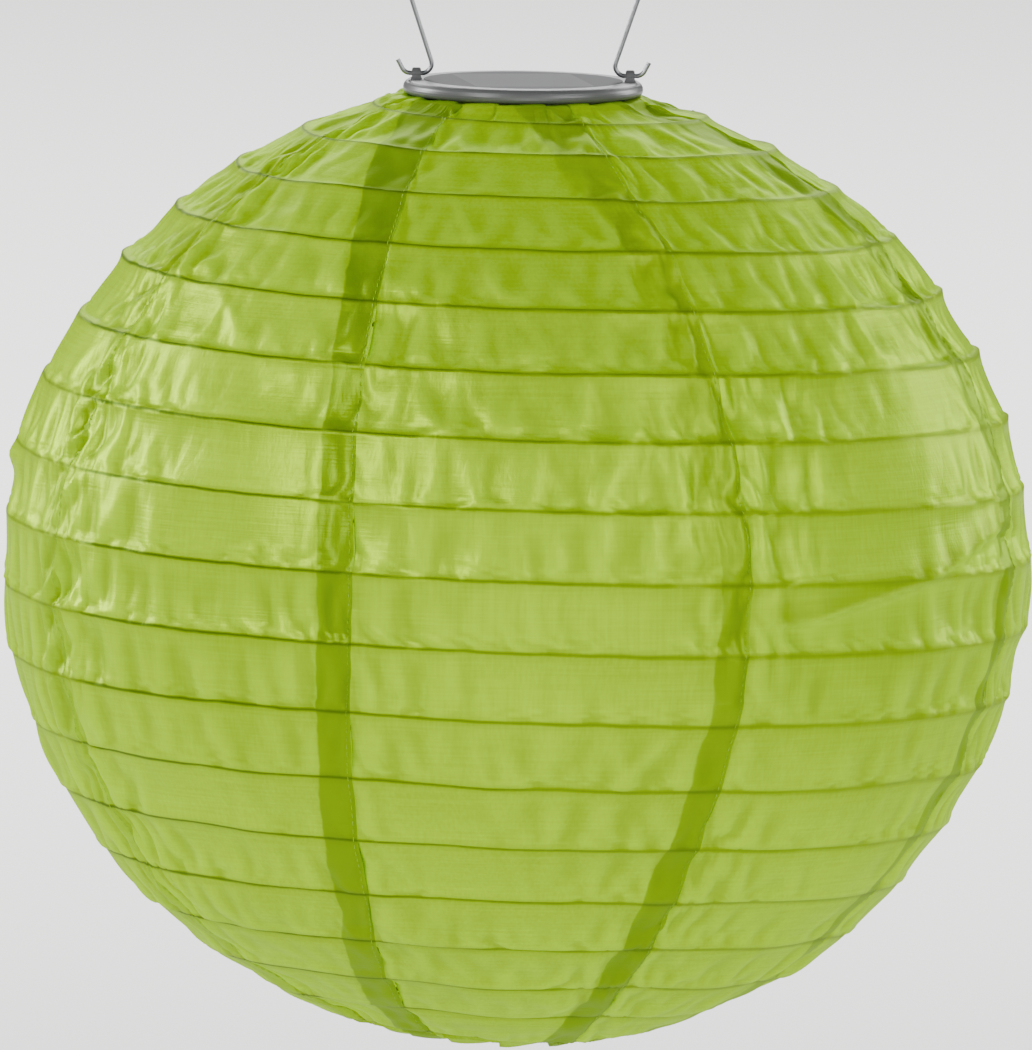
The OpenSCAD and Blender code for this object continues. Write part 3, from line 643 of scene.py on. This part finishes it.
def settle_cloth():
    """Lays the spare cloth of all the gores out between the ribs and seams, by relaxing a net of threads."""
    grids = [gore_grid(k) for k in range(GORES)]
    theta, t = (np.stack(g) for g in zip(*grids, strict=True))
    spare = np.stack([spare_cloth(k, *grids[k]) for k in range(GORES)])
    full = surface(theta, t)
    rows = t.shape[2]
    low = np.arange(rows) // ROWS * ROWS
    high = np.minimum(low + ROWS, rows - 1)
    f = ((np.arange(rows) - low) / ROWS)[:, None]
    ends = (t < T_TOP + 0.1) | (t > T_BOTTOM - 0.1)
    taut = full[:, :, low] * (1 - f) + full[:, :, high] * f
    p = np.where(ends[..., None], full, taut)
    normal = surface(theta, t, 0.001) - full
    normal /= np.linalg.norm(normal, axis=-1, keepdims=True) + 1e-12
    # the ribs and the seams hold the cloth, a little unevenly
    wave = 4 * f[None, None, :, 0] * (1 - f[None, None, :, 0])
    uneven = sway(full)
    share = np.linspace(0, 1, COLS + 1)[None, :, None]
    seam = (share == 0) | (share == 1)
    seam_dip = (-0.0004 + 0.0005 * noise(full, 0.008, 0.02, 5)) * wave
    held = uneven + np.where(seam, seam_dip, 0)
    # small first folds, which run down each strip
    q = full * np.array([1, 1, 0.28])
    folds = noise(q, 0.008, 0.017, 11) + 0.5 * noise(q, 0.005, 0.009, 12)
    first = folds * np.sqrt(np.clip(spare, 0, None)) * 0.0050 * np.sqrt(wave)
    crumple = np.clip(spare / 0.04, 0, 1.6) ** 1.5
    first += crumple * 0.00055 * noise(full * np.array([1, 1, 0.6]), 0.0035, 0.008, 13) * wave**0.25
    move = held + np.where(seam, 0, first)
    flat = p + normal * np.where(ends, 0, uneven)[..., None]
    p = (p + normal * np.where(ends, 0, move)[..., None]).astype(np.float32)
    held_rows = (np.arange(rows) % ROWS == 0)[None, None, :]
    free = np.where(ends | seam | held_rows, 0, 1).astype(np.float32)

    def rest(ahead, shape):
        dc, dr = ahead
        n = shape.shape[1] - dc
        r0, r1 = max(0, -dr), rows - max(0, dr)
        d = shape[:, dc:, r0 + dr : r1 + dr] - shape[:, :n, r0:r1]
        return np.linalg.norm(d, axis=-1), (slice(None), slice(0, n), slice(r0, r1))

    threads = []
    for ahead, stiff in THREADS:
        across = ahead[0] > 0
        length, part = rest(ahead, full if across else flat)
        grow = spare[part] if ahead[1] == 0 else (0.6 * spare[part] if across else -0.001)
        threads.append((ahead, (length * (1 + grow)).astype(np.float32), stiff, max(ahead) == 2))
    for _ in range(STEPS):
        p[..., 2] -= SAG * free
        for ahead, length, stiff, bend in threads:
            stretch(p, free, ahead, length, stiff, bend)
    p = p.astype(float)
    away = ((p - flat) * normal).sum(-1)
    limit = np.clip(away, INWARDS, OUTWARDS)
    p += normal * (limit - away + np.where(ends, 0, finishing(theta, t)))[..., None]
    # how proud each point stands of the cloth a few threads away on either side
    bulge = ((p - flat) * normal).sum(-1)
    reach = COLS // 24
    beside = np.pad(bulge, ((0, 0), (reach, reach), (0, 0)), mode="edge")
    fold = bulge - 0.5 * (beside[:, : -2 * reach] + beside[:, 2 * reach :])
    # the last value is the painted shade and highlight of the folds and of the large pleat, kept as each
    # point's fold
    return theta, t, p, np.clip(fold / FOLD_HEIGHT, -1, 1) + 2.0 * pleat(p)[1]


cloth_theta, cloth_t, cloth_p, cloth_fold_shade = settle_cloth()


def on_cloth(k, theta, t):
    """Points of the settled cloth of gore k at azimuths theta and polar angles t."""
    left, right = seam_theta(k, t), seam_theta(k + 1, t)
    c = np.clip((theta - left) / (right - left) * COLS, 0, COLS - 1e-6)
    r = np.clip((strip(theta, t) + 1) * ROWS, 0, cloth_p.shape[2] - 1.001)
    i, j = c.astype(int), r.astype(int)
    u, v = (c - i)[..., None], (r - j)[..., None]
    g = cloth_p[k]
    near = g[i, j] * (1 - v) + g[i, j + 1] * v
    far = g[i + 1, j] * (1 - v) + g[i + 1, j + 1] * v
    return near * (1 - u) + far * u


def outwards(theta, t):
    """Unit normals of the globe."""
    n = surface(theta, t, 0.001) - surface(theta, t)
    return n / np.linalg.norm(n, axis=-1, keepdims=True)


def tape_width(t):
    """Width in metres of the doubled cloth, which is wider near the top."""
    return 0.0110 + 0.0060 * np.clip((58 - t) / 30, 0, 1)


# How dark each seam's doubled cloth shows at the polar angles of STRAY_T
SHOWN = {
    0: [0.85, 0.9, 1, 1, 1, 1, 1],
    1: [0.5, 0.2, 0.1, 0.75, 1, 1, 1],
    2: [0.8, 0.9, 0.7, 0.8, 0.8, 0.6, 0.6],
    7: [0.3, 0.2, 0.25, 0.25, 0.2, 0.3, 0.4],
}


def tape_tone(k, t):
    """How dark the doubled cloth of seam k shows at polar angle t."""
    return np.interp(t, STRAY_T, SHOWN.get(k % GORES, [0.7] * 7))


gores = []
for k in range(GORES):
    theta, t = cloth_theta[k], cloth_t[k]
    keep, faces = gore_faces(t)
    ob = mesh_object(
        f"cloth_gore_{k + 1}",
        cloth_p[k].reshape(-1, 3)[keep],
        faces,
        cloth_mat,
        {
            "rib_turn": strip(theta, t).ravel()[keep],
            "from_seam": seam_distance(k, theta, t, 1).ravel()[keep],
            "tape_width": tape_width(t).ravel()[keep],
            "tape_tone": tape_tone(k + 1, t).ravel()[keep],
            "fold": cloth_fold_shade[k].ravel()[keep],
        },
    )
    gores.append(ob)


# ---- The doubled cloth inside each seam ----

tapes = []
for k in range(1, GORES + 1):
    across = np.linspace(0, 1, 9)[None, :]
    t = np.linspace(T_TOP + 0.6, T_BOTTOM - 0.6, 400)[:, None] + 0 * across
    edge = seam_theta(k, t)
    ragged = 0.0009 * noise(surface(edge, t), 0.02, 0.05, 80 + k)
    th = edge - (0.0002 + across * (tape_width(t) + ragged)) / degree_arc(t)
    # it lies just inside the gore, and its free edge a little further in
    p = on_cloth(k - 1, th, t) - outwards(th, t) * (0.00045 + 0.0003 * across)[..., None]
    n, m = t.shape
    ids = np.arange(n * m).reshape(n, m)
    quads = np.stack([ids[:-1, :-1], ids[1:, :-1], ids[1:, 1:], ids[:-1, 1:]], -1).reshape(-1, 4)
    tapes.append(mesh_object(f"seam_allowance_{k}", p.reshape(-1, 3), quads.tolist(), seam_mat))


# ---- The spiral rib, hems, stitches and rods ----


def tube(path, radius, sides=8):
    """Vertices and faces of a round tube with flat ends along a path of points."""
    path = np.asarray(path, float)
    n = len(path)
    tangent = np.gradient(path, axis=0)
    tangent /= np.linalg.norm(tangent, axis=1, keepdims=True)
    side = np.cross(tangent, [0, 0, 1.0])
    upright = np.linalg.norm(side, axis=1) < 1e-3
    side[upright] = [0, 1.0, 0]
    side /= np.linalg.norm(side, axis=1, keepdims=True)
    lift = np.cross(side, tangent)
    a = np.linspace(0, 2 * math.pi, sides, endpoint=False)
    r = np.broadcast_to(np.asarray(radius, float), (n,))[:, None, None]
    c, s = np.cos(a)[None, :, None], np.sin(a)[None, :, None]
    ring = path[:, None] + r * (c * side[:, None] + s * lift[:, None])
    faces = []
    for i in range(n - 1):
        for k in range(sides):
            e = (k + 1) % sides
            faces.append([i * sides + k, (i + 1) * sides + k, (i + 1) * sides + e, i * sides + e])
    faces.append(list(range(sides)))
    faces.append([(n - 1) * sides + k for k in reversed(range(sides))])
    return ring.reshape(-1, 3), faces


def joined(parts):
    """The vertices and faces of several tubes as one mesh."""
    verts, faces, base = [], [], 0
    for v, f in parts:
        verts.append(np.asarray(v))
        faces += [[i + base for i in face] for face in f]
        base += len(v)
    return np.concatenate(verts), faces


RIB_RADIUS, RIB_DEPTH = 0.0006, 0.0013  # the wire's own radius, and how deep under the cloth its middle lies
turn = np.linspace(0.1, TURNS - 0.1, 2600)
rib_at = (-90 + RIB_START + 360 * turn, T0 + DT * turn)
v, f = tube(surface(*rib_at, sway(surface(*rib_at)) - RIB_DEPTH), RIB_RADIUS)
rib = mesh_object("spiral_rib_wire", v, f, rib_mat)


def hem_object(name, ring, seed, lap):
    """Cloth rolled round a wire ring, slightly gathered.

    The roll starts at the angle lap, and its free edge is lapped over its start.
    """
    n, sides = 360, 25
    around = np.linspace(0, 2 * math.pi, n, endpoint=False)
    a = rad(lap) + np.linspace(0, rad(395), sides)
    p = np.stack([np.cos(around), np.sin(around), 0 * around], -1) * ring[0]
    pucker = 0.0001 * np.clip(1 - np.abs(noise(p, 0.003, 0.007, seed)), 0, 1) ** 1.5
    r = np.linspace(0.00116, 0.00142, sides)[None] + pucker[:, None]
    flat = ring[0] + r * np.cos(a)[None]
    high = ring[1] + r * np.sin(a)[None]
    verts = np.stack([flat * np.cos(around)[:, None], flat * np.sin(around)[:, None], high], -1)
    faces = []
    for i in range(n):
        j = (i + 1) % n
        for s in range(sides - 1):
            faces.append([i * sides + s, j * sides + s, j * sides + s + 1, i * sides + s + 1])
    return mesh_object(name, verts.reshape(-1, 3), faces, hem_mat)


top_hem = hem_object("top_hem_cloth", TOP_RING, 91, -60)
bottom_hem = hem_object("bottom_hem_cloth", BOTTOM_RING, 92, 60)


def stitch_row(points, normals, gap=0.0026, length=0.0017, r=0.0001):
    """Short thread stitches lying along a row of points."""
    along = np.concatenate([[0], np.cumsum(np.linalg.norm(np.diff(points, axis=0), axis=1))])
    parts = []
    for start in np.arange(0.001, along[-1] - gap, gap):
        at = start + length * np.array([0, 0.15, 0.5, 0.85, 1])
        p = np.stack([np.interp(at, along, points[:, i]) for i in range(3)], -1)
        n = np.stack([np.interp(at, along, normals[:, i]) for i in range(3)], -1)
        p = p + n * np.array([-0.0001, 0.00016, 0.00022, 0.00016, -0.0001])[:, None]
        parts.append(tube(p, r * np.array([0.5, 1, 1, 1, 0.5]), 5))
    return parts


seam_threads = []
for k in range(1, GORES + 1):
    t = np.linspace(T_TOP + 1, T_BOTTOM - 1, 900)
    th = seam_theta(k, t) - 0.0012 / degree_arc(t)
    v, f = joined(stitch_row(on_cloth(k - 1, th, t), outwards(th, t)))
    seam_threads.append(mesh_object(f"seam_stitches_{k}", v, f, thread_mat))


def hem_stitches(name, ring, side):
    """A row of stitches inside a hem, just above (1) or below (-1) the middle of its ring."""
    around = np.linspace(0, 2 * math.pi, 400)
    r = ring[0] - 0.0013
    p = np.stack([r * np.cos(around), r * np.sin(around), ring[1] + side * 0.0006 + 0 * around], -1)
    n = np.stack([-np.cos(around), -np.sin(around), 0 * around], -1)
    v, f = joined(stitch_row(p, n))
    return mesh_object(name, v, f, thread_mat)


top_threads = hem_stitches("top_hem_stitches", TOP_RING, -1)
bottom_threads = hem_stitches("bottom_hem_stitches", BOTTOM_RING, 1)

# Two rods run straight down inside the shade and bend outwards over the bottom ring
ROD_X, ROD_TOP, ROD_RADIUS, ROD_BEND = 0.026, -0.1178, 0.0009, 0.004
FOOT_Z = BOTTOM_RING[1] + 0.0015 + 0.00035 + ROD_RADIUS
BEND_Z = FOOT_Z + ROD_BEND
rod_parts = []
for s in (-1, 1):
    leg = [(s * ROD_X, 0, z) for z in np.linspace(ROD_TOP, BEND_Z, 24)]
    bend = [
        (s * (ROD_X + ROD_BEND * (1 - math.cos(a))), 0, BEND_Z - ROD_BEND * math.sin(a))
        for a in np.linspace(0, math.pi / 2, 10)[1:]
    ]
    foot = [(s * x, 0, FOOT_Z) for x in np.linspace(0.0305, 0.039, 6)]
    rod_parts.append(tube(leg + bend + foot, ROD_RADIUS, 16))
v, f = joined(rod_parts)
rods = mesh_object("expander_rod_wires", v, f, steel_mat)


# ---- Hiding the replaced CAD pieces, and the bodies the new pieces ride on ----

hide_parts("spiral_rib")
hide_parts("expander_rods")
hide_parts("top_hem")
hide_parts("bottom_hem")
for k, ob in enumerate(gores):
    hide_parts(f"gore_{k + 1}")
for ob in tapes:
    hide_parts("seam_tapes")
for ob in [top_hem, top_threads]:
    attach(ob, "shade")
for ob in [bottom_hem, bottom_threads]:
    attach(ob, "shade_foot")
for ob in [*gores, *tapes, *seam_threads, rib, rods]:
    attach(ob, "shade")
    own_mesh(ob)

# ---- Floor, light and camera ----

FLOOR_Z, FLOOR_HALF = -0.85, 60


def backdrop():
    """A wide pale floor, which is all that shows behind the lantern."""
    m, nt, bsdf, _ = new_material("studio_paper")
    paper = noise_map(nt, coordinates(nt), 3.0)
    nt.links.new(mix(nt, paper, (0.80, 0.80, 0.79, 1), (0.82, 0.82, 0.81, 1)), bsdf.inputs["Base Color"])
    bsdf.inputs["Roughness"].default_value = 0.9
    bsdf.inputs["Specular IOR Level"].default_value = 0.1
    corners = ((-1, -1), (1, -1), (1, 1), (-1, 1))
    verts = [(x * FLOOR_HALF, y * FLOOR_HALF, FLOOR_Z) for x, y in corners]
    return mesh_object("studio_floor", verts, [(0, 1, 2, 3)], m)


backdrop()


def lamp(name, place, aim, size, power):
    """A soft rectangular lamp that the camera doesn't see."""
    data = bpy.data.lights.new(name, "AREA")
    data.shape, data.size, data.size_y = "RECTANGLE", size[0], size[1]
    data.energy = power
    ob = bpy.data.objects.new(name, data)
    bpy.context.scene.collection.objects.link(ob)
    ob.location = place
    ob.rotation_euler = (Vector(aim) - Vector(place)).to_track_quat("-Z", "Y").to_euler()
    ob.visible_camera = False


AIM = (0, 0, CENTRE_Z)
lamp("key_left", (-1.3, -1.5, 0.7), AIM, (0.6, 0.6), 34)
lamp("fill_right", (1.5, -1.5, 0.6), AIM, (1.2, 1.2), 29)
lamp("front_low", (0.2, -2.2, -0.5), AIM, (1.2, 0.8), 11)
lamp("rim_right", (1.5, 0.95, 0.3), AIM, (0.5, 1.0), 22)
lamp("rim_left", (-1.5, 0.62, 0.3), AIM, (0.3, 0.8), 30)
lamp("floor_light", (0, 6.5, 2.2), (0, 6.5, FLOOR_Z), (5.0, 6.0), 620)
# the studio's pale surroundings look brighter than the light they give
world = bpy.data.worlds.new("studio")
bpy.context.scene.world = world
world.use_nodes = True
nt = world.node_tree
camera_ray = node(nt, "ShaderNodeLightPath").outputs["Is Camera Ray"]
nt.links.new(maths(nt, "MULTIPLY_ADD", camera_ray, 0.5, 0.1), nt.nodes["Background"].inputs[1])
nt.nodes["Background"].inputs[0].default_value = (1, 1, 1, 1)

cam_data = bpy.data.cameras.new("camera")
cam = bpy.data.objects.new("camera", cam_data)
bpy.context.scene.collection.objects.link(cam)
DIST, VIEW_HEIGHT, SENSOR = 12.0, 0.3108, 36  # metres, metres at the lantern, millimetres
VIEW_SHIFT = 0.01036  # how far above the globe's middle the camera aims
LEAN = rad(0.8)  # the picture leans this far to one side
cam_data.lens = SENSOR * DIST / VIEW_HEIGHT
look = Vector((0, math.cos(ELEV), -math.sin(ELEV)))
up = Vector((0, math.sin(ELEV), math.cos(ELEV)))
target = Vector((-0.0003, 0, CENTRE_Z)) + up * VIEW_SHIFT
cam.location = target - look * DIST
cam.rotation_euler = look.to_track_quat("-Z", "Y").to_euler()
cam.rotation_euler.rotate_axis("Z", LEAN)
cam_data.clip_end = 5 * DIST
bpy.context.scene.camera = cam
